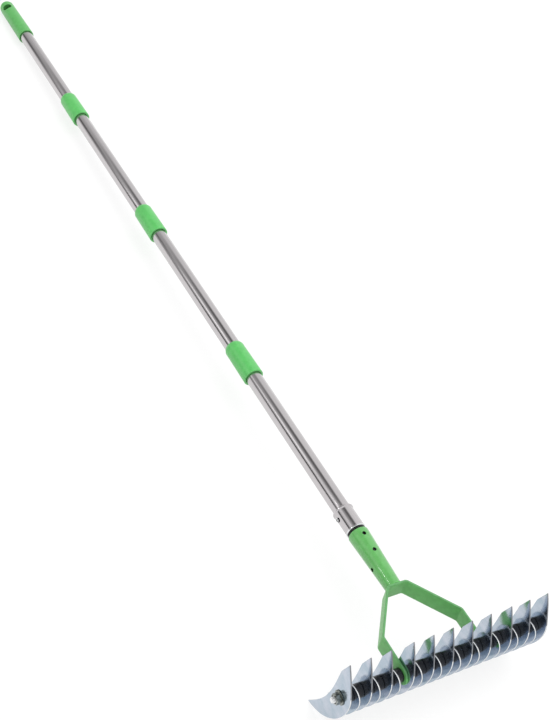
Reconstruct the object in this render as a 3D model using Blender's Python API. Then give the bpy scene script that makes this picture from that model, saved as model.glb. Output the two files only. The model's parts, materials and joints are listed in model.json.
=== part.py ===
"""Dethatching rake: a four-piece screw-together steel pole on a yoke with a rack of hooked blades.

Run with blender --background --python part.py, or from Blender's text editor.

The pole frame has its origin at the middle of the axle, X along the axle, Y up the pole towards
the grip and Z towards the short horns of the blades. The whole rake lies on a floor at world
z = 0, on its hook tips and on the end of its grip.
"""
import math

import bmesh
import bpy
from mathutils import Matrix, Vector, geometry

# Clearances
SEAT = 0.0003              # between faces that bear on each other
FIT = 0.0003               # radial, between a part and the bore that holds it

# Pole tubes
TUBE_RADIUS = 0.0125
TUBE_WALL = 0.0010
LOWEST_TUBE_SHOWS = 0.2736
MIDDLE_TUBE_SHOWS = 0.2885
TOP_TUBE_SHOWS = 0.2333

# Connector sleeves, measured from their open lower end
SLEEVE_LENGTH = 0.0702
SLEEVE_MOUTH_WALL = 0.0024
SLEEVE_TOP_WALL = 0.0026
SLEEVE_NECK_WALL = 0.0009
SLEEVE_CHAMFER = 0.0045
MOUTH_GAP = 0.0011         # radial, round the tube below
MOUTH_DEPTH = 0.0140
UPPER_SEAT = 0.048

# Threaded plugs in the upper tube ends
PLUG_FLANGE = 0.0020
PLUG_SPIGOT = 0.030
PLUG_STUD = 0.034
PLUG_STUD_STEP = 0.0009    # stud inside the tube's bore
PLUG_WALL = 0.0041
PLUG_SIDES = 24
TUBE_ENTERS = 0.010
THREAD_LEAD_IN = 0.0014

# Grip
GRIP_LENGTH = 0.1292
GRIP_MOUTH_WALL = 0.0023
GRIP_END_WALL = 0.00145
GRIP_DOME = 0.013
GRIP_BORE_DEPTH = 0.086
GRIP_LIP = 0.0020
DOME_STEPS = 8
SLOT_WIDTH = 0.018
SLOT_HEIGHT = 0.014
SLOT_FROM_END = 0.0285
SLOT_TURN = -28            # degrees about the pole, as the grip sits on its tube
SLOT_STEPS = 8

# Steel adapter sleeve on the lowest tube
ADAPTER_LENGTH = 0.0386
ADAPTER_WALL = 0.00145
ADAPTER_LIP = 0.0016
ADAPTER_LIP_STEP = 0.00045
BEAD_RADIUS = 0.0026
BEAD_START = -60           # degrees from straight outward
BEAD_STEPS = 7
SCREW_HEIGHT = 0.0255
SCREW_RADIUS = 0.0020
SCREW_HEAD_RADIUS = 0.0034
SCREW_HEAD_HEIGHT = 0.0020
SCREW_REACH = 0.0065
SCREW_SIDES = 20
SCREW_HEAD_STEPS = 5

# Black end plug between the lowest tube and the ferrule
COLLAR_STEP = 0.0009       # collar proud of the tube
COLLAR_THICKNESS = 0.0025
END_SPIGOT = 0.034
END_STUD = 0.043
END_STUD_STEP = 0.0003     # stud inside the tube's outline

# Ferrule
FERRULE_LENGTH = 0.0973
FERRULE_MOUTH_WALL = 0.0027
FERRULE_TAPER = 0.0036     # radius lost from mouth to foot
FERRULE_SHOULDER = 0.0045
SHOULDER_TURN = 70         # degrees, from the side towards the mouth
SHOULDER_STEPS = 5
FERRULE_WALL = 0.0018
SOCKET_DEPTH = 0.046
WELD_WIDTH = 0.0014
WELD_HEIGHT = 0.0021
FERRULE_HOLE_RADIUS = 0.0022
FERRULE_HOLE_SIDES = 12
TOP_HOLE_HEIGHTS = (0.0570, 0.0849)
SIDE_HOLE_HEIGHT = 0.0358

# Yoke, a bent flat bar
BAR_WIDTH = 0.0265
BAR_THICKNESS = 0.0030
BAR_EDGE = 0.0006
BAR_BEND_RADIUS = 0.006    # of the middle line
BEND_STEPS = 5
YOKE_TOP = 0.1155
YOKE_TOP_HALF_WIDTH = 0.0142
FOOT_LENGTH = 0.0493
FOOT_END_CUT = math.radians(8)
FOOT_END_STEPS = 7

# Rack
AXLE_RADIUS = 0.0040
AXLE_CHAMFER = 0.0008
AXLE_BEYOND_NUT = 0.0036
LONG_BLADES = 11
PLATES_TO_FOOT = 4
BLADE_THICKNESS = 0.0018
BLADE_CHAMFER = 0.0004
SPACER_LENGTH = 0.0122
SPACER_RADIUS = 0.0095
SPACER_CHAMFER = 0.0006
NUT_ACROSS_FLATS = 0.013
NUT_HEIGHT = 0.0065
FLANGE_RADIUS = 0.0098
FLANGE_THICKNESS = 0.0016
FLANGE_EDGE = 0.0004
FLANGE_SIDES = 24

# Blade outline in the rack's Y, Z plane
HOOK_TIP = (0.0486, -0.0793)
HORN_CORNER = (0.0128, 0.0383)
HORN_TIP = (0.0040, 0.0626)
BACK_TOP = (-0.0173, 0.0195)
BELLY_PULLS = ((0.0182, -0.0335), (0.0163, -0.0132))
HORN_BACK_PULLS = ((-0.0045, 0.0500), (-0.0125, 0.0320))
BACK_PULLS = ((-0.0274, -0.0073), (-0.0017, -0.0713))
SHORT_TIP = (0.0430, -0.0766)
EYE_START = (0.0195, -0.0060)
EYE_END = (-0.0196, 0.0)
EYE_PULLS = ((0.0135, 0.0200), (-0.0209, 0.0258))
SHORT_BELLY_PULLS = ((0.0293, -0.0573), (0.0207, -0.0370))
SHORT_BACK_PULLS = ((-0.0175, -0.0207), (0.0026, -0.0709))
BELLY_STEPS = 8
HORN_BACK_STEPS = 3
BACK_STEPS = 10
EYE_STEPS = 9
SHARPEST_MITRE = 0.12      # least share kept of a corner's half angle

TUBE_SIDES = 32
AXLE_SIDES = 16
SPACER_SIDES = 16
HOLE_SIDES = 16


def lerp(a, b, t):
    """The value a share t of the way from a to b."""
    return a + (b - a) * t


def bezier(start, pull_a, pull_b, end, steps):
    """Points of a cubic curve from start up to, but not including, end."""
    points = []
    for i in range(steps):
        t = i / steps
        weights = ((1 - t) ** 3, 3 * t * (1 - t) ** 2, 3 * t * t * (1 - t), t ** 3)
        corners = (start, pull_a, pull_b, end)
        points.append(tuple(sum(w * c[k] for w, c in zip(weights, corners)) for k in range(2)))
    return points


def arc(centre, radius, start, end, steps):
    """Points of an arc in a profile plane, angles in degrees, both ends included."""
    points = []
    for i in range(steps + 1):
        a = math.radians(lerp(start, end, i / steps))
        points.append((centre[0] + radius * math.cos(a), centre[1] + radius * math.sin(a)))
    return points


def dome(radius, rise, start, steps):
    """Profile points of a rounded cap from its rim at height start to its top on the axis."""
    quarter = [math.pi / 2 * i / steps for i in range(steps)]
    return [(radius * math.cos(a), start + rise * math.sin(a)) for a in quarter] + [(0, start + rise)]


def long_blade_outline():
    """Hooked below for tearing thatch, with a horn above that is cut off at a slant."""
    belly = bezier(HOOK_TIP, *BELLY_PULLS, HORN_CORNER, BELLY_STEPS)
    horn_back = bezier(HORN_TIP, *HORN_BACK_PULLS, BACK_TOP, HORN_BACK_STEPS)
    back = bezier(BACK_TOP, *BACK_PULLS, HOOK_TIP, BACK_STEPS)
    return belly + [HORN_CORNER] + horn_back + back


def short_blade_outline():
    """The same hook, a little shorter, ending in a round eye over the axle."""
    belly = bezier(SHORT_TIP, *SHORT_BELLY_PULLS, EYE_START, BELLY_STEPS)
    eye = bezier(EYE_START, *EYE_PULLS, EYE_END, EYE_STEPS)
    back = bezier(EYE_END, *SHORT_BACK_PULLS, SHORT_TIP, BACK_STEPS)
    return belly + eye + back


class Stack:
    """Places along the axle, walked outward from the middle blade and mirrored."""

    def __init__(self):
        self.long_blades = [0.0]
        self.short_blades = []
        self.spacers = []
        self.foot = 0.0
        edge = BLADE_THICKNESS / 2
        for plate in range(1, LONG_BLADES):
            self.spacers.append(edge + SEAT + SPACER_LENGTH / 2)
            edge += SEAT + SPACER_LENGTH + SEAT
            side = self.short_blades if plate % 2 else self.long_blades
            side.append(edge + BLADE_THICKNESS / 2)
            edge += BLADE_THICKNESS
            if plate == PLATES_TO_FOOT:
                self.foot = edge + SEAT + BAR_THICKNESS / 2
                edge += SEAT + BAR_THICKNESS
        self.nut = edge + SEAT
        self.axle_half = self.nut + FLANGE_THICKNESS + NUT_HEIGHT + AXLE_BEYOND_NUT

    @staticmethod
    def both_sides(places):
        """Every place and its mirror image, from -X to +X, with the middle one once."""
        return sorted({-x for x in places} | set(places))


STACK = Stack()

# Heights up the pole from the axle
FERRULE_FOOT = YOKE_TOP + SEAT
COLLAR_FOOT = FERRULE_FOOT + FERRULE_LENGTH + SEAT
ADAPTER_FOOT = COLLAR_FOOT + COLLAR_THICKNESS + SEAT
SLEEVE_3 = ADAPTER_FOOT + ADAPTER_LENGTH + LOWEST_TUBE_SHOWS
SLEEVE_2 = SLEEVE_3 + SLEEVE_LENGTH + MIDDLE_TUBE_SHOWS
SLEEVE_1 = SLEEVE_2 + SLEEVE_LENGTH + MIDDLE_TUBE_SHOWS
GRIP_FOOT = SLEEVE_1 + SLEEVE_LENGTH + TOP_TUBE_SHOWS
GRIP_END = GRIP_FOOT + GRIP_LENGTH

# Radii that follow the tube's
TUBE_BORE = TUBE_RADIUS - TUBE_WALL
BORE_ON_TUBE = TUBE_RADIUS + FIT
PLUG_STUD_RADIUS = TUBE_BORE - PLUG_STUD_STEP
GRIP_MOUTH_RADIUS = BORE_ON_TUBE + GRIP_MOUTH_WALL
GRIP_END_RADIUS = BORE_ON_TUBE + GRIP_END_WALL
ADAPTER_RADIUS = BORE_ON_TUBE + ADAPTER_WALL
END_STUD_RADIUS = TUBE_RADIUS - END_STUD_STEP
FERRULE_BORE = END_STUD_RADIUS + FIT
FERRULE_TOP_RADIUS = FERRULE_BORE + FERRULE_MOUTH_WALL
FERRULE_FOOT_RADIUS = FERRULE_TOP_RADIUS - FERRULE_TAPER

# The pole slopes down to its grip, so that hook tips and grip both touch the floor
SLOPE = math.atan2(-HOOK_TIP[1] - GRIP_END_RADIUS, GRIP_END - GRIP_DOME - HOOK_TIP[0])


def clear_scene():
    for obj in list(bpy.data.objects):
        bpy.data.objects.remove(obj, do_unlink=True)


def finish(name, colour, roughness, metallic):
    """A Principled material, colour as linear red, green, blue."""
    material = bpy.data.materials.new(name)
    material.use_nodes = True
    shader = material.node_tree.nodes["Principled BSDF"]
    shader.inputs["Base Color"].default_value = (*colour, 1.0)
    shader.inputs["Roughness"].default_value = roughness
    shader.inputs["Metallic"].default_value = metallic
    material.diffuse_color = (*colour, 1.0)
    return material


def empty(name, location, parent=None, rotation=(0.0, 0.0, 0.0)):
    frame = bpy.data.objects.new(name, None)
    frame.location = location
    frame.rotation_euler = rotation
    frame.parent = parent
    bpy.context.collection.objects.link(frame)
    return frame


def place(name, mesh, material, parent, location=(0.0, 0.0, 0.0), rotation=(0.0, 0.0, 0.0)):
    """One sub-part: an object under its parent, in its parent's frame."""
    if not mesh.materials:
        mesh.materials.append(material)
    obj = bpy.data.objects.new(name, mesh)
    obj.location = location
    obj.rotation_euler = rotation
    obj.parent = parent
    bpy.context.collection.objects.link(obj)
    return obj


def to_mesh(name, bm, smooth_degrees=35):
    bmesh.ops.remove_doubles(bm, verts=bm.verts, dist=1e-6)
    bmesh.ops.recalc_face_normals(bm, faces=bm.faces)
    mesh = bpy.data.meshes.new(name)
    bm.to_mesh(mesh)
    bm.free()
    mesh.shade_smooth()
    mesh.set_sharp_from_angle(angle=math.radians(smooth_degrees))
    return mesh


def turned(name, profile, sides=TUBE_SIDES, closed=True):
    """Spins a profile of (radius, height) points about Y; an open one starts and ends on the axis."""
    bm = bmesh.new()
    verts = [bm.verts.new((radius, height, 0.0)) for radius, height in profile]
    edges = [bm.edges.new(pair) for pair in zip(verts, verts[1:])]
    if closed:
        edges.append(bm.edges.new((verts[-1], verts[0])))
    bmesh.ops.spin(bm, geom=verts + edges, cent=(0, 0, 0), axis=(0, 1, 0),
                   angle=2 * math.pi, steps=sides, use_merge=True)
    return to_mesh(name, bm)


def tube_mesh(name, length):
    inner, outer = TUBE_BORE, TUBE_RADIUS
    return turned(name, [(inner, 0), (outer, 0), (outer, length), (inner, length)])


def rod(name, radius, length, axis, sides=HOLE_SIDES):
    """A plain round bar, centred on the origin, used to cut holes."""
    bm = bmesh.new()
    turn = Vector((0, 0, 1)).rotation_difference(Vector(axis)).to_matrix().to_4x4()
    bmesh.ops.create_cone(bm, cap_ends=True, segments=sides, radius1=radius, radius2=radius,
                          depth=length, matrix=turn)
    return to_mesh(name, bm)


def combine(target, mesh, operation, location=(0.0, 0.0, 0.0), rotation=(0.0, 0.0, 0.0)):
    """Cuts the mesh out of target, or joins it on; location and rotation are in target's frame."""
    tool = bpy.data.objects.new(f"{target.name}_{mesh.name}", mesh)
    tool.location = location
    tool.rotation_euler = rotation
    tool.parent = target
    tool.hide_render = True
    tool.display_type = 'WIRE'
    bpy.context.collection.objects.link(tool)
    modifier = target.modifiers.new(mesh.name, 'BOOLEAN')
    modifier.operation = operation
    modifier.solver = 'EXACT'
    modifier.object = tool


def offset_outline(outline, distance):
    """The outline moved inward by distance; it runs anticlockwise."""
    moved = []
    count = len(outline)
    for i, (y, z) in enumerate(outline):
        before, after = outline[i - 1], outline[(i + 1) % count]
        normals = []
        for (ay, az), (by, bz) in ((before, (y, z)), ((y, z), after)):
            length = math.hypot(by - ay, bz - az)
            normals.append(((bz - az) / length, -(by - ay) / length))
        (ny, nz), (my, mz) = normals
        scale = distance / max(1 + ny * my + nz * mz, SHARPEST_MITRE)
        moved.append((y - (ny + my) * scale, z - (nz + mz) * scale))
    return moved


def anticlockwise(outline):
    area = sum(a[0] * b[1] - b[0] * a[1] for a, b in zip(outline, outline[1:] + outline[:1]))
    return outline if area > 0 else outline[::-1]


def plate_mesh(name, outline):
    """A flat blade with ground edges and an axle hole, its middle plane at x = 0."""
    rim = anticlockwise(outline)
    ground = offset_outline(rim, BLADE_CHAMFER)
    hole = arc((0, 0), AXLE_RADIUS + FIT, 0, 360, HOLE_SIDES)[:-1]
    half = BLADE_THICKNESS / 2
    edge = half - BLADE_CHAMFER
    bm = bmesh.new()
    rings = []
    for x, loop in ((-half, ground), (-edge, rim), (edge, rim), (half, ground)):
        rings.append([bm.verts.new((x, y, z)) for y, z in loop])
    bores = [[bm.verts.new((x, y, z)) for y, z in hole] for x in (-half, half)]
    for loop_a, loop_b in list(zip(rings, rings[1:])) + [tuple(bores)]:
        for i in range(len(loop_a)):
            bm.faces.new((loop_a[i - 1], loop_a[i], loop_b[i], loop_b[i - 1]))
    flat = [[Vector((y, z, 0)) for y, z in loop] for loop in (ground, hole)]
    triangles = geometry.tessellate_polygon(flat)
    for face_loop, bore_loop in ((rings[0], bores[0]), (rings[-1], bores[1])):
        verts = face_loop + bore_loop
        for triangle in triangles:
            bm.faces.new([verts[i] for i in triangle])
    return to_mesh(name, bm, smooth_degrees=20)


def rounded_path(corners, radius, steps):
    """The corners joined by straight runs, with each inner corner turned to an arc."""
    path = [Vector(corners[0])]
    for before, corner, after in zip(corners, corners[1:], corners[2:]):
        corner = Vector(corner)
        back = (Vector(before) - corner).normalized()
        ahead = (Vector(after) - corner).normalized()
        half_angle = back.angle(ahead) / 2
        centre = corner + (back + ahead).normalized() * (radius / math.sin(half_angle))
        first = corner + back * (radius / math.tan(half_angle)) - centre
        last = corner + ahead * (radius / math.tan(half_angle)) - centre
        for i in range(steps + 1):
            path.append(centre + first.slerp(last, i / steps) * radius)
    path.append(Vector(corners[-1]))
    return path


def bar_section(point, along, half_width):
    """Eight corners of the flat bar around a point of its middle line, edges broken."""
    across = Vector((-along.y, along.x))
    flat = BAR_THICKNESS / 2
    shape = ((flat, half_width - BAR_EDGE), (flat - BAR_EDGE, half_width))
    corners = [(t, w) for t, w in shape]
    corners += [(-t, w) for t, w in reversed(shape)]
    corners += [(-t, -w) for t, w in shape]
    corners += [(t, -w) for t, w in reversed(shape)]
    return [(point.x + across.x * t, point.y + across.y * t, w) for t, w in corners]


def yoke_stations():
    """Middle-line points of the bar with its half width there, from foot end to foot end."""
    reach = BAR_WIDTH / 2
    foot, top = STACK.foot, YOKE_TOP - BAR_THICKNESS / 2
    angles = [lerp(FOOT_END_CUT, math.pi / 2, i / FOOT_END_STEPS) for i in range(FOOT_END_STEPS + 1)]
    left_end = [(Vector((-foot, -reach * math.cos(a))), reach * math.sin(a)) for a in angles]
    corners = [(-foot, 0), (-foot, FOOT_LENGTH), (-YOKE_TOP_HALF_WIDTH, top),
               (YOKE_TOP_HALF_WIDTH, top), (foot, FOOT_LENGTH), (foot, 0)]
    body = [(point, reach) for point in rounded_path(corners, BAR_BEND_RADIUS, BEND_STEPS)[1:-1]]
    right_end = [(Vector((-p.x, p.y)), w) for p, w in reversed(left_end)]
    return left_end + body + right_end


def yoke_mesh():
    stations = yoke_stations()
    bm = bmesh.new()
    loops = []
    for i, (point, half_width) in enumerate(stations):
        before = stations[max(i - 1, 0)][0]
        after = stations[min(i + 1, len(stations) - 1)][0]
        along = (after - before).normalized()
        loops.append([bm.verts.new(co) for co in bar_section(point, along, half_width)])
    for loop_a, loop_b in zip(loops, loops[1:]):
        for i in range(len(loop_a)):
            bm.faces.new((loop_a[i - 1], loop_a[i], loop_b[i], loop_b[i - 1]))
    bm.faces.new(loops[0])
    bm.faces.new(loops[-1])
    return to_mesh("yoke", bm, smooth_degrees=30)


def ferrule_mesh():
    """A tapered socket, rounded at its mouth, with a weld bead round its foot."""
    top, foot, length = FERRULE_TOP_RADIUS, FERRULE_FOOT_RADIUS, FERRULE_LENGTH
    floor = length - SOCKET_DEPTH
    floor_radius = lerp(foot, top, floor / length) - FERRULE_WALL
    shoulder = arc((top - FERRULE_SHOULDER, length - FERRULE_SHOULDER), FERRULE_SHOULDER,
                   0, SHOULDER_TURN, SHOULDER_STEPS)
    profile = [(foot - FERRULE_WALL, 0), (foot + WELD_WIDTH, 0), (foot + WELD_WIDTH, WELD_HEIGHT / 3)]
    profile += [(foot + WELD_WIDTH / 4, WELD_HEIGHT)] + shoulder
    profile += [(FERRULE_BORE, shoulder[-1][1])]
    profile += [(FERRULE_BORE, floor), (floor_radius, floor - FERRULE_WALL)]
    return turned("ferrule", profile)


def sleeve_mesh():
    """Connector: fixed on the tube above, screwed on the plug of the tube below."""
    length = SLEEVE_LENGTH
    mouth = TUBE_RADIUS + MOUTH_GAP
    thread = PLUG_STUD_RADIUS + FIT
    lip = MOUTH_GAP / 2
    outside = mouth + SLEEVE_MOUTH_WALL
    profile = [(mouth + lip / 2, 0), (outside - lip, 0), (outside, lip)]
    profile += [(BORE_ON_TUBE + SLEEVE_TOP_WALL, length - SLEEVE_CHAMFER)]
    profile += [(BORE_ON_TUBE + SLEEVE_NECK_WALL, length)]
    profile += [(BORE_ON_TUBE, length), (BORE_ON_TUBE, UPPER_SEAT), (thread, UPPER_SEAT)]
    profile += [(thread, MOUTH_DEPTH), (mouth, MOUTH_DEPTH), (mouth, lip)]
    return turned("connector", profile)


def plug_mesh():
    """Hollow threaded plug: a spigot in the tube, a flange on its end and a stud above."""
    spigot, stud, end = TUBE_BORE - FIT, PLUG_STUD_RADIUS, PLUG_FLANGE + PLUG_STUD
    bore = stud - PLUG_WALL
    profile = [(bore, -PLUG_SPIGOT), (spigot, -PLUG_SPIGOT), (spigot, 0), (TUBE_RADIUS, 0)]
    profile += [(TUBE_RADIUS, PLUG_FLANGE), (stud, PLUG_FLANGE), (stud, end - THREAD_LEAD_IN)]
    profile += [(stud - THREAD_LEAD_IN, end), (bore, end)]
    return turned("plug", profile, sides=PLUG_SIDES)


def end_plug_mesh():
    """Solid black plug: a spigot in the lowest tube, a collar and a stud for the ferrule."""
    spigot = TUBE_BORE - FIT
    stud, collar = END_STUD_RADIUS, TUBE_RADIUS + COLLAR_STEP
    profile = [(0, -END_STUD), (stud - THREAD_LEAD_IN, -END_STUD), (stud, THREAD_LEAD_IN - END_STUD)]
    profile += [(stud, 0), (collar, 0), (collar, COLLAR_THICKNESS), (spigot, COLLAR_THICKNESS)]
    profile += [(spigot, COLLAR_THICKNESS + END_SPIGOT), (0, COLLAR_THICKNESS + END_SPIGOT)]
    return turned("end_plug", profile, closed=False)


def adapter_mesh():
    """Pressed steel sleeve with a lip below and a rolled bead above."""
    length, radius, lip = ADAPTER_LENGTH, ADAPTER_RADIUS, ADAPTER_RADIUS + ADAPTER_LIP_STEP
    bead_centre = (radius - BEAD_RADIUS / 2, length - BEAD_RADIUS)
    profile = [(BORE_ON_TUBE, 0), (lip, 0), (lip, ADAPTER_LIP)]
    profile += [(radius, ADAPTER_LIP + ADAPTER_LIP_STEP)]
    profile += arc(bead_centre, BEAD_RADIUS, BEAD_START, 90, BEAD_STEPS)
    profile += [(BORE_ON_TUBE, length)]
    return turned("adapter_sleeve", profile)


def screw_mesh():
    """Round-headed screw along Y, its head's underside at the origin."""
    profile = [(0, -SCREW_REACH), (SCREW_RADIUS, -SCREW_REACH), (SCREW_RADIUS, 0)]
    profile += dome(SCREW_HEAD_RADIUS, SCREW_HEAD_HEIGHT, 0, SCREW_HEAD_STEPS)
    return turned("adapter_screw", profile, sides=SCREW_SIDES, closed=False)


def grip_mesh():
    """Moulded cap over the top tube, domed at its end."""
    mouth, edge = GRIP_MOUTH_RADIUS, GRIP_LIP / 2
    lip_radius = BORE_ON_TUBE + MOUTH_GAP / 2
    profile = [(0, GRIP_BORE_DEPTH), (BORE_ON_TUBE, GRIP_BORE_DEPTH), (BORE_ON_TUBE, GRIP_LIP)]
    profile += [(lip_radius, 0), (mouth - edge, 0), (mouth, edge)]
    profile += dome(GRIP_END_RADIUS, GRIP_DOME, GRIP_LENGTH - GRIP_DOME, DOME_STEPS)
    return turned("hand_grip", profile, closed=False)


def slot_mesh():
    """The hanging slot: a flat-sided hole with round ends, right through, its way along Z."""
    radius = SLOT_HEIGHT / 2
    shift = SLOT_WIDTH / 2 - radius
    outline = arc((shift, 0), radius, -90, 90, SLOT_STEPS) + arc((-shift, 0), radius, 90, 270, SLOT_STEPS)
    bm = bmesh.new()
    low = bm.faces.new([bm.verts.new((x, y, -2 * GRIP_END_RADIUS)) for x, y in outline])
    top = bmesh.ops.extrude_face_region(bm, geom=[low])
    raised = [item for item in top["geom"] if isinstance(item, bmesh.types.BMVert)]
    bmesh.ops.translate(bm, verts=raised, vec=(0, 0, 4 * GRIP_END_RADIUS))
    return to_mesh("slot", bm)


def spacer_mesh():
    half, bore, radius = SPACER_LENGTH / 2, AXLE_RADIUS + FIT, SPACER_RADIUS
    chamfer = SPACER_CHAMFER
    profile = [(bore, -half), (radius - chamfer, -half), (radius, chamfer - half)]
    profile += [(radius, half - chamfer), (radius - chamfer, half), (bore, half)]
    return turned("spacer", profile, sides=SPACER_SIDES)


def axle_mesh():
    half, radius, chamfer = STACK.axle_half, AXLE_RADIUS, AXLE_CHAMFER
    profile = [(0, -half), (radius - chamfer, -half), (radius, chamfer - half)]
    profile += [(radius, half - chamfer), (radius - chamfer, half), (0, half)]
    return turned("axle", profile, sides=AXLE_SIDES, closed=False)


def hex_mesh():
    """The six-sided body of a flange nut, from its flange at y = 0 outward."""
    corner = NUT_ACROSS_FLATS / 2 / math.cos(math.pi / 6)
    bm = bmesh.new()
    turn = Matrix.Rotation(-math.pi / 2, 4, 'X')
    middle = Matrix.Translation((0, (NUT_HEIGHT + FLANGE_THICKNESS) / 2, 0))
    bmesh.ops.create_cone(bm, cap_ends=True, segments=6, radius1=corner, radius2=corner,
                          depth=NUT_HEIGHT + FLANGE_THICKNESS, matrix=middle @ turn)
    return to_mesh("hex", bm)


def flange_mesh():
    """The nut's round flange and the cone that breaks the corners of its far end."""
    profile = [(0, 0), (FLANGE_RADIUS - FLANGE_EDGE, 0), (FLANGE_RADIUS, FLANGE_EDGE)]
    profile += [(FLANGE_RADIUS, FLANGE_THICKNESS / 2), (NUT_ACROSS_FLATS / 2, FLANGE_THICKNESS)]
    profile += [(0, FLANGE_THICKNESS)]
    return turned("flange", profile, sides=FLANGE_SIDES, closed=False)


def build_rack(parent, zinc, black):
    across = (0.0, 0.0, -math.pi / 2)
    place("axle_rod", axle_mesh(), zinc, parent, rotation=across)
    long_blade = plate_mesh("long_blade", long_blade_outline())
    for i, x in enumerate(Stack.both_sides(STACK.long_blades)):
        place(f"long_blade_{i + 1:02d}", long_blade, zinc, parent, (x, 0, 0))
    short_blade = plate_mesh("short_blade", short_blade_outline())
    for i, x in enumerate(Stack.both_sides(STACK.short_blades)):
        place(f"short_blade_{i + 1:02d}", short_blade, zinc, parent, (x, 0, 0))
    spacer = spacer_mesh()
    for i, x in enumerate(Stack.both_sides(STACK.spacers)):
        place(f"spacer_{i + 1:02d}", spacer, black, parent, (x, 0, 0), across)
    bore = rod("nut_bore", AXLE_RADIUS + FIT, 4 * NUT_HEIGHT, (0, 1, 0))
    body, flange = hex_mesh(), flange_mesh()
    for name, side in (("axle_nut_left", -1), ("axle_nut_right", 1)):
        nut = place(name, body, zinc, parent, (side * STACK.nut, 0, 0), (0, 0, -side * math.pi / 2))
        combine(nut, flange, 'UNION')
        combine(nut, bore, 'DIFFERENCE')


def build_head(parent, green):
    yoke = place("yoke", yoke_mesh(), green, parent)
    axle_hole = rod("axle_hole", AXLE_RADIUS + FIT, 3 * STACK.foot, (1, 0, 0))
    combine(yoke, axle_hole, 'DIFFERENCE')
    ferrule = place("ferrule", ferrule_mesh(), green, parent, (0, FERRULE_FOOT, 0))
    radius = FERRULE_TOP_RADIUS
    for i, height in enumerate(TOP_HOLE_HEIGHTS):
        hole = rod(f"top_hole_{i + 1}", FERRULE_HOLE_RADIUS, 2 * radius, (0, 0, 1), FERRULE_HOLE_SIDES)
        combine(ferrule, hole, 'DIFFERENCE', (0, height, radius))
    hole = rod("side_hole", FERRULE_HOLE_RADIUS, 2 * radius, (1, 0, 0), FERRULE_HOLE_SIDES)
    combine(ferrule, hole, 'DIFFERENCE', (-radius, SIDE_HOLE_HEIGHT, 0))


def build_lowest_section(parent, steel, green, black):
    """Lowest tube with its adapter sleeve, screw and end plug; parent sits at the collar's foot."""
    above_collar = COLLAR_THICKNESS + SEAT
    screw_at = above_collar + SCREW_HEIGHT
    clearance = SCREW_RADIUS + FIT
    length = ADAPTER_LENGTH + LOWEST_TUBE_SHOWS + TUBE_ENTERS
    pieces = [
        place("end_plug", end_plug_mesh(), black, parent),
        place("adapter_sleeve", adapter_mesh(), steel, parent, (0, above_collar, 0)),
        place("tube_4", tube_mesh("tube_4", length), steel, parent, (0, above_collar, 0)),
    ]
    reach = ADAPTER_RADIUS + SEAT
    depth = SCREW_REACH + SEAT
    for piece in pieces:
        hole = rod(f"screw_hole_{piece.name}", clearance, 2 * depth, (1, 0, 0), SCREW_SIDES)
        combine(piece, hole, 'DIFFERENCE', (-reach, screw_at - piece.location.y, 0))
    place("adapter_screw", screw_mesh(), steel, parent, (-reach, screw_at, 0), (0, 0, math.pi / 2))
    place("thread_plug_4", plug_mesh(), green, parent, (0, above_collar + length + SEAT, 0))


def build_middle_section(number, parent, sleeve, steel, green):
    """A connector with the tube above it and that tube's plug; parent sits at the sleeve's mouth."""
    length = SLEEVE_LENGTH - UPPER_SEAT - SEAT + MIDDLE_TUBE_SHOWS + TUBE_ENTERS
    start = UPPER_SEAT + SEAT
    place(f"connector_{number}", sleeve, green, parent)
    place(f"tube_{number}", tube_mesh(f"tube_{number}", length), steel, parent, (0, start, 0))
    place(f"thread_plug_{number}", plug_mesh(), green, parent, (0, start + length + SEAT, 0))


def build_top_section(parent, sleeve, steel, green):
    """The topmost connector, its tube and the grip; parent sits at the sleeve's mouth."""
    start = UPPER_SEAT + SEAT
    grip_foot = SLEEVE_LENGTH + TOP_TUBE_SHOWS
    length = grip_foot + GRIP_BORE_DEPTH - SEAT - start
    place("connector_1", sleeve, green, parent)
    place("tube_1", tube_mesh("tube_1", length), steel, parent, (0, start, 0))
    grip = place("hand_grip", grip_mesh(), green, parent, (0, grip_foot, 0))
    combine(grip, slot_mesh(), 'DIFFERENCE', (0, GRIP_LENGTH - SLOT_FROM_END, 0),
            (0, math.radians(SLOT_TURN), 0))


def rake_frame():
    """The pole frame, sloped and set on the floor, with the rake's middle over the origin."""
    sin, cos = math.sin(SLOPE), math.cos(SLOPE)
    back = min(y * cos + z * sin for y, z in long_blade_outline())
    middle = (back + GRIP_END * cos) / 2
    height = HOOK_TIP[0] * sin - HOOK_TIP[1] * cos
    return empty("rake_frame", (0, -middle, height), rotation=(-SLOPE, 0, 0))


def main():
    clear_scene()
    steel = finish("brushed_steel", (0.45, 0.42, 0.42), 0.28, 1.0)
    zinc = finish("bright_zinc", (0.52, 0.57, 0.66), 0.18, 1.0)
    green = finish("green", (0.15, 0.55, 0.16), 0.40, 0.0)
    black = finish("black_plastic", (0.012, 0.012, 0.014), 0.45, 0.0)
    frame = rake_frame()
    build_head(frame, green)
    build_rack(empty("rack_pivot", (0, 0, 0), frame), zinc, black)
    sleeve = sleeve_mesh()
    section_4 = empty("section_4", (0, COLLAR_FOOT, 0), frame)
    section_3 = empty("section_3", (0, SLEEVE_3 - COLLAR_FOOT, 0), section_4)
    section_2 = empty("section_2", (0, SLEEVE_2 - SLEEVE_3, 0), section_3)
    section_1 = empty("section_1", (0, SLEEVE_1 - SLEEVE_2, 0), section_2)
    build_lowest_section(section_4, steel, green, black)
    build_middle_section(3, section_3, sleeve, steel, green)
    build_middle_section(2, section_2, sleeve, steel, green)
    build_top_section(section_1, sleeve, steel, green)


main()
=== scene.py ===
"""Dresses the dethatching rake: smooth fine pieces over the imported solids, materials, light, camera."""
import json
import math

import bmesh
import bpy
from mathutils import Matrix, Vector, geometry

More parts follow.
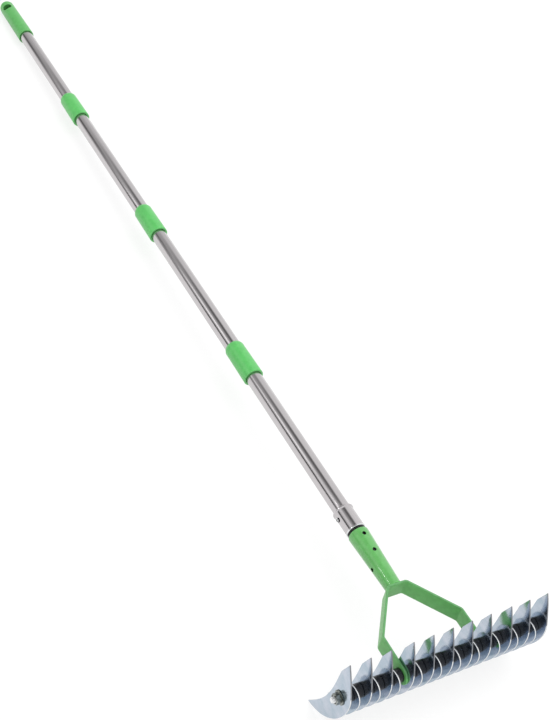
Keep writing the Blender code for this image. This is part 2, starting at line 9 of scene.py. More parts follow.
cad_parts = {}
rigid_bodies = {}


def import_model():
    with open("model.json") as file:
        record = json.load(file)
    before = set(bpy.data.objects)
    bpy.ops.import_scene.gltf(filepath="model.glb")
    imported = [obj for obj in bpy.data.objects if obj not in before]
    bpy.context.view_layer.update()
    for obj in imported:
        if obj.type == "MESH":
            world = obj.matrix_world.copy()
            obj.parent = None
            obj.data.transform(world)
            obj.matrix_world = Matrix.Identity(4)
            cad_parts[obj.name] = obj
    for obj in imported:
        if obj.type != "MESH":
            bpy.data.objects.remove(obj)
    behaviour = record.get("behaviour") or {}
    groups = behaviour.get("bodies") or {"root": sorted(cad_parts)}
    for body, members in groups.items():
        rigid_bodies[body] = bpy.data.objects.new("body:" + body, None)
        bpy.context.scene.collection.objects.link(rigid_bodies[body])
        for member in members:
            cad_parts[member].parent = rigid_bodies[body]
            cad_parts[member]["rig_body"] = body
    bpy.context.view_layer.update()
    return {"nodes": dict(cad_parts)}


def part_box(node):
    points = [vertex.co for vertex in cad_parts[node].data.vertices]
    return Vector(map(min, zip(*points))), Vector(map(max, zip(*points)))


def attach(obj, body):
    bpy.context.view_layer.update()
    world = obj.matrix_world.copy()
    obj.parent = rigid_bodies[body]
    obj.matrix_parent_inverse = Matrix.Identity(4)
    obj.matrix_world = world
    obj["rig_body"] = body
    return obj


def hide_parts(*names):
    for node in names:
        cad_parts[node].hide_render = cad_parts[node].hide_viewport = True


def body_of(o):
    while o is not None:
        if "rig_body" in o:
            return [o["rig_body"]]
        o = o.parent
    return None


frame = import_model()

NODES = frame["nodes"]

# Camera in the pole frame: origin at the axle's middle, X along it, Y up the pole
CAMERA_EYE = (-0.80284, -0.58461, 1.26989)
CAMERA_RIGHT = (0.87215, -0.45615, 0.17687)
CAMERA_UP = (0.19818, 0.65993, 0.72472)
CAMERA_LENS = 61.917

# Sides of a full turn, steps in a rounded corner, and in degrees the widest angle that is shaded
# smooth and the least that is rounded after a cut
ROUND_SIDES = 96
SMALL_SIDES = 48
CORNER_STEPS = 4
SMOOTH_ANGLE = 32
SOFTEN_ANGLE = 40

# Distances under which points count as one, and under which the slivers of a cut are removed
SAME_POINT = 1e-7
SLIVER = 2e-7

# Least value that the mitre at a corner is divided by, so that the inset of a sharp point stays short
MITRE_LIMIT = 0.12

# Threads: rings in a turn, and how much steeper than a plain zigzag the flanks rise to the flat crest
THREAD_ROWS = 8
THREAD_FLANK = 1.5

# How far cutters reach past a surface, and their length through a wall and through the yoke
CUT_PAST = 0.001
WALL_CUTTER = 0.02
YOKE_CUTTER = 0.2

# Names that end in SKIN say how far from the outside, or from a bore, a face has to lie to take the
# other material of its piece

# Pole
TUBE_RADIUS = 0.0125
TUBE_WALL = 0.0010
TUBE_FILLET = 0.0003
BORE = 0.0128

# Connector sleeves
SLEEVE_MOUTH = 0.0160
SLEEVE_TOP = 0.0154
SLEEVE_NECK = 0.0137
SLEEVE_CHAMFER = 0.0045
SLEEVE_UPPER_SEAT = 0.048
SLEEVE_MOUTH_BORE = 0.0129
SLEEVE_MOUTH_DEPTH = 0.014
SLEEVE_THREAD_BORE = 0.0109
SLEEVE_BORE_FILLET = 0.0002
SLEEVE_MOUTH_FILLET = 0.0009
SLEEVE_TOP_FILLET = 0.0016
SLEEVE_NECK_FILLET = 0.0003

# Threaded plugs
PLUG_BORE = 0.0065
PLUG_SPIGOT = 0.030
PLUG_SPIGOT_RADIUS = 0.0112
PLUG_FLANGE = 0.0020
PLUG_CHAMFER = 0.0003
PLUG_STUD_ROOT = 0.0097
PLUG_STUD_CREST = 0.0106
END_STUD_ROOT = 0.0113
END_STUD_CREST = 0.0122
END_STUD = 0.043
COLLAR_RADIUS = 0.0134
COLLAR_THICKNESS = 0.0019
COLLAR_CHAMFER = 0.0004
COARSE_PITCH = 0.0030
THREAD_MARGIN = 0.001

# Grip
GRIP_MOUTH = 0.0151
GRIP_END = 0.01425
GRIP_DOME = 0.013
GRIP_BORE_DEPTH = 0.086
GRIP_FILLET = 0.0009
GRIP_FLARE = 0.0002
GRIP_FLARE_DEPTH = 0.001
SLOT_WIDTH = 0.018
SLOT_HEIGHT = 0.014
SLOT_FROM_END = 0.0285
SLOT_TURN = -28
SLOT_EDGE = 0.0008
SLOT_SKIN = 0.0015

# Adapter sleeve: its pressed lip stands out in two small steps below, its rolled bead on top. The lip's
# lower outside is bright zinc, a painted highlight
ADAPTER_RADIUS = 0.01425
ADAPTER_LIP_RADIUS = 0.0147
ADAPTER_LIP = 0.0016
ADAPTER_DROP = 0.0006
LIP_FILLET = 0.0008
LIP_DRAFT = 0.0001
LIP_STEP = 0.0004
BEAD_RADIUS = 0.0026
BORE_SKIN = 0.0003

# Its screw: a wing of the recess is as long, deep and wide as this, with half the depth above the head,
# and the head takes painted shade below a height and inside a share of its dome, the rest of it being a
# painted highlight
SCREW_HOLE = 0.0023
SCREW_SHANK = 0.0017
SCREW_HEAD = 0.0020
RECESS_WING = (0.0050, 0.0024, 0.0013)
DARK_BELOW = 0.0010
DARK_WITHIN = 0.9

# Ferrule: its shoulder rolls in over an angle in degrees
FERRULE_TOP = 0.0152
FERRULE_FOOT = 0.0116
FERRULE_SHOULDER = 0.0036
FERRULE_BORE = 0.0125
SOCKET_DEPTH = 0.046
FERRULE_WALL = 0.0018
FERRULE_HOLE = 0.0028
FERRULE_ROLL = 70
FERRULE_LIP = 0.0003
FERRULE_SKIN = 0.0005
HOLE_EDGE = 0.0002
TOP_HOLES = (0.0570, 0.0849)
SIDE_HOLE = 0.0358

# Weld: swell of a ripple, unevenness, seat and stretch are shares of the bead's radius
WELD_RADIUS = 0.0009
WELD_RIPPLES = 26
RIPPLE_STEPS = 6
WELD_SIDES = 14
WELD_SWELL = 0.20
WELD_UNEVEN = 0.06
WELD_OUT = 0.0002
WELD_SEAT = 0.9
WELD_STRETCH = 1.05
WELD_LOWEST = 0.00002

# Yoke: each round foot ends in a small flat, which starts this many degrees off its middle
BAR_WIDTH = 0.0265
BAR_THICKNESS = 0.0030
BAR_EDGE = 0.0008
BAR_EDGE_SHARE = 0.9
BAR_BEND = 0.006
YOKE_TOP = 0.1155
YOKE_TOP_HALF = 0.0142
FOOT_LENGTH = 0.0493
FOOT_FLAT = 8

# Rack
AXLE_RADIUS = 0.0040
AXLE_ROOT = 0.0034
AXLE_PITCH = 0.00125
AXLE_THREAD = 0.016
AXLE_POINT = 0.0006
AXLE_RUNOUT = 0.0004
AXLE_BORE = 0.0043
SPACER_RADIUS = 0.0095
SPACER_FILLET = 0.0006
NUT_FLATS = 0.013
NUT_HEIGHT = 0.0065
NUT_FILLET = 0.0004
NUT_FACE = 0.0003
NUT_CHAMFER = 0.0009
NUT_SINK = 0.0007
NUT_SINK_OUT = 0.0009
NUT_SINK_UP = 0.0002
FLANGE_RADIUS = 0.0098
FLANGE_THICKNESS = 0.0016
FLANGE_CHAMFER = 0.0004
BLADE_THICKNESS = 0.0018

# Blade edges: their rounding, the line across the sheet where the bright cut turns dark, and the height
# above the axle from which the horn's edge is dark. The bright part is a painted highlight and the dark
# part painted shade, both partly real, as a sheared edge has a brighter burnished band and a duller torn
# one
BLADE_EDGE = 0.00018
SHEAR_LINE = 0.0002
HORN_FOOT = 0.019

# Blade outlines in the rack's Y, Z plane, the same curves as the solids
HOOK_TIP = (0.0486, -0.0793)
HORN_CORNER = (0.0128, 0.0383)
HORN_TIP = (0.0040, 0.0626)
BACK_TOP = (-0.0173, 0.0195)
BELLY_PULLS = ((0.0182, -0.0335), (0.0163, -0.0132))
HORN_BACK_PULLS = ((-0.0045, 0.0500), (-0.0125, 0.0320))
BACK_PULLS = ((-0.0274, -0.0073), (-0.0017, -0.0713))
SHORT_TIP = (0.0430, -0.0766)
EYE_START = (0.0195, -0.0060)
EYE_END = (-0.0196, 0.0)
EYE_PULLS = ((0.0135, 0.0200), (-0.0209, 0.0258))
SHORT_BELLY_PULLS = ((0.0293, -0.0573), (0.0207, -0.0370))
SHORT_BACK_PULLS = ((-0.0175, -0.0207), (0.0026, -0.0709))

# Colours, linear
STEEL_LIGHT = (0.60, 0.575, 0.585)
STEEL_DARK = (0.53, 0.508, 0.517)
BLADE_LIGHT = (0.555, 0.595, 0.675)
BLADE_DARK = (0.40, 0.485, 0.565)
# Near-white cut edge of the blades and screw head: a painted highlight, partly the real bare cut
EDGE_LIGHT = (0.90, 0.91, 0.91)
EDGE_DARK = (0.76, 0.78, 0.79)
# Dark edge of the horns and of the cut's torn half: painted shade, partly the real duller torn band
HORN_EDGE_LIGHT = (0.26, 0.27, 0.29)
HORN_EDGE_DARK = (0.17, 0.175, 0.19)
ZINC_LIGHT = (0.86, 0.87, 0.88)
ZINC_DARK = (0.62, 0.63, 0.64)
# Nut: zinc painted dark, painted shade for the dark surroundings it mirrors
NUT_LIGHT = (0.40, 0.42, 0.40)
NUT_DARK = (0.07, 0.08, 0.07)
PAINT_LIGHT = (0.150, 0.500, 0.135)
PAINT_DARK = (0.125, 0.430, 0.110)
# Ferrule: the yoke's green in a darker copy, painted shade against the stronger light on its upper side
GLOSS_LIGHT = (0.128, 0.445, 0.117)
GLOSS_DARK = (0.107, 0.385, 0.096)
# Yoke's narrow edges: the green darker and greyer, painted shade
RIM_LIGHT = (0.135, 0.375, 0.140)
RIM_DARK = (0.110, 0.310, 0.115)
GRIP_LIGHT = (0.103, 0.430, 0.106)
GRIP_DARK = (0.090, 0.380, 0.090)
# Walls of the grip's slot: the grip's green darker, painted shade
SLOT_SHADE_LIGHT = (0.055, 0.260, 0.055)
SLOT_SHADE_DARK = (0.040, 0.200, 0.040)
PLASTIC_LIGHT = (0.102, 0.515, 0.118)
PLASTIC_DARK = (0.088, 0.455, 0.103)
# Black: the spacers' and end plug's own colour, also used as painted shade in hollows
BLACK_LIGHT = (0.014, 0.014, 0.017)
BLACK_DARK = (0.007, 0.007, 0.009)

# How far a piece's random number shifts its grain, so that like pieces differ, and between which
# values of the noise the dark colour turns to the light one
PIECE_SHIFT = (3.1, 5.3, 7.7)
DRIFT_RANGE = (0.32, 0.68)

# Floor: half its side, its grey, and for a direct look the grey that takes shadow and the glow
FLOOR_HALF = 12.0
FLOOR_ROUGHNESS = 0.9
FLOOR_GREY = 0.78
FLOOR_SHADE = 0.24
FLOOR_GLOW = 0.76

# Room: levels of light as (degrees round the pole from straight up, level), for directions that lean a
# little up the pole and for those that lie close along it. CHANGE_OVER says between which parts along
# the pole the one turns into the other, and BEHIND where both fade to plain white.
ACROSS_STOPS = ((-92, 1.0), (-84, 0.14), (-72, 0.07), (-63, 0.85), (-42, 0.85), (-28, 0.5), (-14, 0.22),
                (0, 0.10), (8, 0.30), (20, 0.95), (35, 1.0))
ALONG_STOPS = ((-85, 0.9), (-72, 0.40), (-60, 0.12), (-46, 0.15), (-36, 0.40), (-20, 0.55), (0, 0.60),
               (15, 0.68), (40, 0.80))
CHANGE_OVER = (0.60, 0.82)
BEHIND = (0.22, 0.36)

# Lamps: two strips beside the pole, at one angle round it, and a wide sun
STRIP_AZIMUTH = -49
STRIP_DISTANCE = 1.2
STRIP_WIDTH = 0.20
STRIP_LENGTH = 1.0
STRIP_HEIGHT = 1.48
STRIP_POWER = 0.52
SPARK_HEIGHT = 0.57
SPARK_LENGTH = 0.18
SPARK_WIDTH = 0.04
SPARK_POWER = 0.65
SUN_FROM = (0.30, 0.0, 1.0)
SUN_POWER = 1.25
SUN_SPREAD = 50
SUN_HEIGHT = 3


def pole_matrix():
    """The pole frame in the scene's own frame, read from the axle and the topmost tube."""
    origin = sum(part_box("axle_rod"), Vector()) / 2
    along = (sum(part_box("tube_1"), Vector()) / 2 - origin).normalized()
    across = Vector((1, 0, 0))
    up = across.cross(along)
    turn = Matrix((across, along, up)).transposed().to_4x4()
    return Matrix.Translation(origin) @ turn


POLE = pole_matrix()


def span(solid):
    """Lowest and highest corner of a CAD node in the pole frame."""
    inverse = POLE.inverted()
    corners = [inverse @ v.co for v in NODES[solid].data.vertices]
    return [Vector([pick(c[k] for c in corners) for k in range(3)]) for pick in (min, max)]


# Materials

def node(tree, kind, **values):
    """A shader node with some of its inputs set."""
    made = tree.nodes.new(kind)
    for name, value in values.items():
        made.inputs[name.replace("_", " ")].default_value = value
    return made


def material(name, light, dark, roughness, metallic, grain, bump, coat=(0.0, 0.1), shine=0.5):
    """Colour and roughness that drift with a stretched noise, and a finer noise as relief.

    Roughness is its lowest and highest value, grain the noise's scale along each axis, bump the
    relief's strength and depth, coat the clear coat's weight and roughness.
    """
    made = bpy.data.materials.new(name)
    made.use_nodes = True
    tree = made.node_tree
    shader = tree.nodes["Principled BSDF"]
    shader.inputs["Metallic"].default_value = metallic
    shader.inputs["Specular IOR Level"].default_value = shine
    shader.inputs["Coat Weight"].default_value = coat[0]
    shader.inputs["Coat Roughness"].default_value = coat[1]
    place = tree.nodes.new("ShaderNodeTexCoord")
    apart = tree.nodes.new("ShaderNodeObjectInfo")
    spread = tree.nodes.new("ShaderNodeVectorMath")
    spread.operation = 'MULTIPLY_ADD'
    spread.inputs[1].default_value = PIECE_SHIFT
    stretch = node(tree, "ShaderNodeMapping", Scale=grain)
    drift = node(tree, "ShaderNodeTexNoise", Scale=1.0, Detail=4.0)
    relief = node(tree, "ShaderNodeTexNoise", Scale=3.0, Detail=2.0)
    ramp = tree.nodes.new("ShaderNodeValToRGB")
    ramp.color_ramp.elements[0].position = DRIFT_RANGE[0]
    ramp.color_ramp.elements[0].color = (*dark, 1.0)
    ramp.color_ramp.elements[1].position = DRIFT_RANGE[1]
    ramp.color_ramp.elements[1].color = (*light, 1.0)
    gloss = node(tree, "ShaderNodeMapRange", To_Min=roughness[0], To_Max=roughness[1])
    normal = node(tree, "ShaderNodeBump", Strength=bump[0], Distance=bump[1])
    links = tree.links
    links.new(apart.outputs["Random"], spread.inputs[0])
    links.new(place.outputs["Object"], stretch.inputs["Vector"])
    links.new(stretch.outputs["Vector"], spread.inputs[2])
    links.new(spread.outputs["Vector"], drift.inputs["Vector"])
    links.new(spread.outputs["Vector"], relief.inputs["Vector"])
    links.new(drift.outputs["Fac"], ramp.inputs["Fac"])
    links.new(ramp.outputs["Color"], shader.inputs["Base Color"])
    links.new(drift.outputs["Fac"], gloss.inputs["Value"])
    links.new(gloss.outputs["Result"], shader.inputs["Roughness"])
    links.new(relief.outputs["Fac"], normal.inputs["Height"])
    links.new(normal.outputs["Normal"], shader.inputs["Normal"])
    return made


def make_materials():
    """All materials by their short names."""
    along_pole = (700.0, 0.6, 700.0)
    along_blade = (60.0, 40.0, 60.0)
    even = (140.0, 140.0, 140.0)
    coarse = (260.0, 260.0, 260.0)
    return {
        "steel": material("brushed_steel", STEEL_LIGHT, STEEL_DARK, (0.14, 0.20), 1.0,
                          along_pole, (0.04, 0.00002)),
        "blade": material("plated_blade", BLADE_LIGHT, BLADE_DARK, (0.13, 0.21), 1.0,
                          along_blade, (0.10, 0.00002)),
        # Bright and dark copies of the cut edge: painted highlight and painted shade
        "edge": material("ground_edge", EDGE_LIGHT, EDGE_DARK, (0.30, 0.42), 0.15,
                         even, (0.20, 0.00003)),
        "shaded_edge": material("dull_edge", HORN_EDGE_LIGHT, HORN_EDGE_DARK, (0.30, 0.42), 0.8,
                              even, (0.20, 0.00003)),
        # Zinc of the axle, also a painted highlight on the adapter's lip
        "zinc": material("bright_zinc", ZINC_LIGHT, ZINC_DARK, (0.08, 0.16), 1.0,
                         even, (0.15, 0.00005)),
        # The nut's zinc, darkened as painted shade
        "nut": material("dull_zinc", NUT_LIGHT, NUT_DARK, (0.08, 0.20), 1.0,
                        coarse, (0.20, 0.0001)),
        "paint": material("green_paint", PAINT_LIGHT, PAINT_DARK, (0.34, 0.46), 0.0,
                          even, (0.20, 0.00008), shine=0.45),
        # The yoke's narrow edges in a darker copy of the paint: painted shade
        "rim": material("paint_on_edge", RIM_LIGHT, RIM_DARK, (0.34, 0.46), 0.0,
                        even, (0.25, 0.0001), shine=0.3),
        # The ferrule's glossy paint, its colour darkened as painted shade
        "gloss": material("glossy_paint", GLOSS_LIGHT, GLOSS_DARK, (0.34, 0.46), 0.0,
                          even, (0.10, 0.00003), coat=(0.9, 0.07), shine=0.3),
        "grip": material("grip_plastic", GRIP_LIGHT, GRIP_DARK, (0.32, 0.44), 0.0,
                         even, (0.25, 0.00008), shine=0.8),
        # The slot's walls: painted shade
        "slot": material("slot_wall", SLOT_SHADE_LIGHT, SLOT_SHADE_DARK, (0.5, 0.6), 0.0,
                         even, (0.25, 0.0001), shine=0.3),
        "plastic": material("green_plastic", PLASTIC_LIGHT, PLASTIC_DARK, (0.28, 0.40), 0.0,
                            even, (0.20, 0.00006), shine=0.8),
        "black": material("black_plastic", BLACK_LIGHT, BLACK_DARK, (0.20, 0.34), 0.0,
                          even, (0.15, 0.00005), shine=0.45),
        # Painted shade in hollows: inside the ferrule and its holes, the screw's recess and rim, the nut's
        # bore and countersink
        "hollow_shade": material("dark_inside", BLACK_LIGHT, BLACK_DARK, (0.6, 0.8), 0.0,
                           even, (0.20, 0.0001), shine=0.1),
    }


MATERIALS = make_materials()


# Outlines and profiles

def lerp(a, b, t):
    """The value a share t of the way from a to b."""
    return a + (b - a) * t


def arc(centre, radii, start, end, steps):
    """Points of an arc round centre, round or flattened, from start to end in degrees."""
    angles = [math.radians(lerp(start, end, k / steps)) for k in range(steps + 1)]
    return [(centre[0] + radii[0] * math.cos(a), centre[1] + radii[1] * math.sin(a)) for a in angles]


def bezier(start, pull_a, pull_b, end, steps):
    """Points of a cubic curve from start up to, but not including, end."""
    points = []
    for i in range(steps):
        t = i / steps
        weights = ((1 - t) ** 3, 3 * t * (1 - t) ** 2, 3 * t * t * (1 - t), t ** 3)
        corners = (start, pull_a, pull_b, end)
        points.append(tuple(sum(w * c[k] for w, c in zip(weights, corners)) for k in range(2)))
    return points


def long_outline():
    """A long blade: belly from the hook's tip, the horn's front and back, then the back."""
    belly = bezier(HOOK_TIP, *BELLY_PULLS, HORN_CORNER, 28)
    horn_back = bezier(HORN_TIP, *HORN_BACK_PULLS, BACK_TOP, 10)
    back = bezier(BACK_TOP, *BACK_PULLS, HOOK_TIP, 36)
    return belly + [HORN_CORNER] + horn_back + back


def short_outline():
    """A short blade: belly from the hook's tip, the round eye, then the back."""
    belly = bezier(SHORT_TIP, *SHORT_BELLY_PULLS, EYE_START, 24)
    eye = bezier(EYE_START, *EYE_PULLS, EYE_END, 30)
    back = bezier(EYE_END, *SHORT_BACK_PULLS, SHORT_TIP, 30)
    return belly + eye + back


def offset_outline(outline, distance):
    """The outline moved inward by distance; it runs anticlockwise."""
    moved = []
    for i, here in enumerate(outline):
        before, after = outline[i - 1], outline[(i + 1) % len(outline)]
        normals = []
        for a, b in ((before, here), (here, after)):
            length = math.hypot(b[0] - a[0], b[1] - a[1])
            normals.append(((b[1] - a[1]) / length, (a[0] - b[0]) / length))
        (ny, nz), (my, mz) = normals
        scale = distance / max(1 + ny * my + nz * mz, MITRE_LIMIT)
        moved.append((here[0] - (ny + my) * scale, here[1] - (nz + mz) * scale))
    return moved


def corner_arc(before, corner, after, radius, steps):
    """Points of the arc that rounds a corner between its neighbours."""
    corner = Vector(corner)
    back = (Vector(before) - corner).normalized()
    ahead = (Vector(after) - corner).normalized()
    half = back.angle(ahead) / 2
    centre = corner + (back + ahead).normalized() * (radius / math.sin(half))
    first = corner + back * (radius / math.tan(half)) - centre
    last = corner + ahead * (radius / math.tan(half)) - centre
    return [centre + first.slerp(last, k / steps) * radius for k in range(steps + 1)]


def rounded(corners):
    """Profile points from (radius, height, fillet) corners; a fillet of 0 stays sharp."""
    points = []
    for i, (radius, height, fillet) in enumerate(corners):
        if fillet == 0:
            points.append((radius, height))
            continue
        before, after = corners[i - 1], corners[(i + 1) % len(corners)]
        bend = corner_arc(before[:2], (radius, height), after[:2], fillet, CORNER_STEPS)
        points += [(point.x, point.y) for point in bend]
    return points


def thread_rows(low, high, root, crest, pitch, sides):
    """Rings of a helical thread, fading out at both ends: (one radius a side, height)."""
    rows = []
    count = round((high - low) / pitch * THREAD_ROWS)
    for i in range(count + 1):
        height = lerp(low, high, i / count)
        fade = min(1.0, (height - low) / pitch, (high - height) / pitch)
        radii = []
        for k in range(sides):
            phase = (height / pitch - k / sides) % 1.0
            rise = min(1.0, THREAD_FLANK * (1 - abs(2 * phase - 1)))
            radii.append(root + (crest - root) * rise * fade)
        rows.append((radii, height))
    return rows


# Meshes

def smooth(mesh, degrees=SMOOTH_ANGLE):
    """The mesh shaded smooth, with edges past the angle left sharp."""
    mesh.shade_smooth()
    mesh.set_sharp_from_angle(angle=math.radians(degrees))
    return mesh


def finish_mesh(name, bm, degrees=SMOOTH_ANGLE):
    """A smooth mesh with all its faces turned outward."""
    bmesh.ops.remove_doubles(bm, verts=bm.verts, dist=SAME_POINT)
    bmesh.ops.recalc_face_normals(bm, faces=bm.faces)
    mesh = bpy.data.meshes.new(name)
    bm.to_mesh(mesh)
    bm.free()
    return smooth(mesh, degrees)


def turned_mesh(name, profile, sides=ROUND_SIDES, closed=True):
    """Spins (radius, height) points about Y; a radius may be a list with one value a side."""
    bm = bmesh.new()
    rings = []
    for radius, height in profile:
        if not isinstance(radius, list) and radius < SAME_POINT:
            rings.append([bm.verts.new((0, height, 0))])
            continue
        radii = radius if isinstance(radius, list) else [radius] * sides
        angles = [2 * math.pi * k / sides for k in range(sides)]
        rings.append([bm.verts.new((r * math.sin(a), height, r * math.cos(a)))
                      for r, a in zip(radii, angles)])
    pairs = list(zip(rings, rings[1:]))
    if closed:
        pairs.append((rings[-1], rings[0]))
    for low, high in pairs:
        for k in range(sides):
            corners = [low[(k - 1) % len(low)], low[k % len(low)],
                       high[k % len(high)], high[(k - 1) % len(high)]]
            face = list(dict.fromkeys(corners))
            if len(face) > 2:
                bm.faces.new(face)
    return finish_mesh(name, bm)


def plate_mesh(name, outline):
    """A blade: faces in the first material, the edge's painted highlight in the second, its painted shade
    in the third.
    """
    turns = sum(a[0] * b[1] - b[0] * a[1] for a, b in zip(outline, outline[1:] + outline[:1]))
    rim = outline if turns > 0 else outline[::-1]
    half = BLADE_THICKNESS / 2
    bm = bmesh.new()
    sections = []
    for angle in (90, 60, 30, 0):
        a = math.radians(angle)
        inset = BLADE_EDGE * (1 - math.cos(a))
        sections.append((half - BLADE_EDGE * (1 - math.sin(a)), offset_outline(rim, inset)))
    stacked = [(-x, loop) for x, loop in sections] + [(SHEAR_LINE, rim)]
    stacked += [(x, loop) for x, loop in reversed(sections)]
    rings = [[bm.verts.new((x, y, z)) for y, z in loop] for x, loop in stacked]
    for band, (low, high) in enumerate(zip(rings, rings[1:])):
        for i in range(len(low)):
            rim_face = bm.faces.new((low[i - 1], low[i], high[i], high[i - 1]))
            # The horn's edge and the cut's torn half take painted shade, the rest of the cut a painted
            # highlight
            on_horn = min(v.co.z for v in rim_face.verts) > HORN_FOOT
            rim_face.material_index = 2 if on_horn or band >= len(sections) else 1
    turn = [2 * math.pi * k / SMALL_SIDES for k in range(SMALL_SIDES)]
    hole = [(AXLE_BORE * math.cos(a), AXLE_BORE * math.sin(a)) for a in turn]
    bores = [[bm.verts.new((x, y, z)) for y, z in hole] for x in (-half, half)]
    for i in range(SMALL_SIDES):
        bm.faces.new((bores[0][i - 1], bores[0][i], bores[1][i], bores[1][i - 1]))
    flat = [[Vector((y, z, 0)) for y, z in loop] for loop in (sections[0][1], hole)]
    triangles = geometry.tessellate_polygon(flat)
    for face_loop, bore_loop in ((rings[0], bores[0]), (rings[-1], bores[1])):
        verts = face_loop + bore_loop
        for triangle in triangles:
            bm.faces.new([verts[i] for i in triangle])
    return finish_mesh(name, bm, degrees=25)


def rod_mesh(name, radius, length, axis):
    """A plain round bar about the origin, used to cut holes."""
    bm = bmesh.new()
    turn = Vector((0, 0, 1)).rotation_difference(Vector(axis)).to_matrix().to_4x4()
    bmesh.ops.create_cone(bm, cap_ends=True, segments=SMALL_SIDES, radius1=radius, radius2=radius,
                          depth=length, matrix=turn)
    return finish_mesh(name, bm)


def combine(mesh, tool_mesh, operation, matrix=Matrix()):
    """A new mesh: the first with the other cut out of it, joined on, or intersected."""
    target = bpy.data.objects.new("target", mesh)
    tool = bpy.data.objects.new("tool", tool_mesh)
    tool.matrix_world = matrix
    for obj in (target, tool):
        bpy.context.collection.objects.link(obj)
    modifier = target.modifiers.new("combine", 'BOOLEAN')
    modifier.operation = operation
    modifier.solver = 'EXACT'
    modifier.object = tool
    bpy.context.view_layer.update()
    graph = bpy.context.evaluated_depsgraph_get()
    result = bpy.data.meshes.new_from_object(target.evaluated_get(graph))
    result.name = mesh.name
    for obj in (target, tool):
        bpy.data.objects.remove(obj, do_unlink=True)
    bm = bmesh.new()
    bm.from_mesh(result)
    bmesh.ops.dissolve_degenerate(bm, dist=SLIVER, edges=bm.edges)
    bm.to_mesh(result)
    bm.free()
    return smooth(result)


def soften(obj, width, segments):
    """Rounds the edges that a cut has left sharp."""
    bevel = obj.modifiers.new("soften", 'BEVEL')
    bevel.width = width
    bevel.segments = segments
    bevel.limit_method = 'ANGLE'
    bevel.angle_limit = math.radians(SOFTEN_ANGLE)
    bevel.harden_normals = True


def piece(name, mesh, looks, nodes, matrix):
    """A finer piece that stands for CAD nodes, placed in the pole frame and moving with their body."""
    if not mesh.get("dressed"):
        parts = [face.material_index for face in mesh.polygons]
        mesh.materials.clear()
        for look in looks:
            mesh.materials.append(MATERIALS[look])
        mesh.polygons.foreach_set("material_index", parts)
        mesh["dressed"] = True
    obj = bpy.data.objects.new(name, mesh)
    bpy.context.collection.objects.link(obj)
    obj.matrix_world = POLE @ matrix
    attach(obj, body_of(NODES[nodes[0]])[0])
    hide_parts(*nodes)
    return obj


def up_pole(height):
    """A place on the pole's axis."""
    return Matrix.Translation((0, height, 0))


def along_axle(solid):
    """The place on the axle where a CAD node has its middle."""
    low, high = span(solid)
    return Matrix.Translation(((low.x + high.x) / 2, 0, 0))


def quarter_turn(side):
    """Turns Y to point along side * X."""
    return Matrix.Rotation(-side * math.pi / 2, 4, 'Z')


# Pole

def make_tubes():
    """The four pole tubes, with rounded end edges."""
    for number in (1, 2, 3, 4):
        name = f"tube_{number}"
        low, high = span(name)
        length = high.y - low.y
        inner = TUBE_RADIUS - TUBE_WALL
        corners = ((inner, 0), (TUBE_RADIUS, 0), (TUBE_RADIUS, length), (inner, length))
        profile = rounded([(*corner, TUBE_FILLET) for corner in corners])
        piece(f"fine_{name}", turned_mesh(name, profile), ["steel"], [name], up_pole(low.y))


def make_connectors():
    """The three screw sleeves, each bored for a tube from either end."""
    for number in (1, 2, 3):
        name = f"connector_{number}"
        low, high = span(name)
        length = high.y - low.y
        profile = rounded([
            (SLEEVE_MOUTH_BORE, 0, SLEEVE_BORE_FILLET),
            (SLEEVE_MOUTH, 0, SLEEVE_MOUTH_FILLET),
            (SLEEVE_TOP, length - SLEEVE_CHAMFER, SLEEVE_TOP_FILLET),
            (SLEEVE_NECK, length, SLEEVE_NECK_FILLET),
            (BORE, length, 0),
            (BORE, SLEEVE_UPPER_SEAT, 0),
            (SLEEVE_THREAD_BORE, SLEEVE_UPPER_SEAT, 0),
            (SLEEVE_THREAD_BORE, SLEEVE_MOUTH_DEPTH, 0),
            (SLEEVE_MOUTH_BORE, SLEEVE_MOUTH_DEPTH, 0)])
        piece(f"fine_{name}", turned_mesh(name, profile), ["plastic"], [name],
              up_pole(low.y))


def flange_rows(radius, thickness, chamfer):
    """The outside of a flange that stands on height 0, with both edges chamfered."""
    return [(radius - chamfer, 0), (radius, chamfer), (radius, thickness - chamfer),
            (radius - chamfer, thickness)]


def make_plugs():
    """The threaded plugs that stand in the tubes' upper ends."""
    for number in (2, 3, 4):
        name = f"thread_plug_{number}"
        low, high = span(name)
        seat = low.y + PLUG_SPIGOT
        end = high.y - seat
        profile = [(PLUG_BORE, -PLUG_SPIGOT), (PLUG_SPIGOT_RADIUS, -PLUG_SPIGOT), (PLUG_SPIGOT_RADIUS, 0)]
        profile += flange_rows(TUBE_RADIUS, PLUG_FLANGE, PLUG_CHAMFER)
        profile += [(PLUG_STUD_ROOT, PLUG_FLANGE)]
        profile += thread_rows(PLUG_FLANGE + THREAD_MARGIN, end - THREAD_MARGIN, PLUG_STUD_ROOT,
                               PLUG_STUD_CREST, COARSE_PITCH, SMALL_SIDES)
        profile += [(PLUG_STUD_ROOT, end), (PLUG_BORE, end)]
        piece(f"fine_{name}", turned_mesh(name, profile, SMALL_SIDES), ["plastic"],
              [name], up_pole(seat))


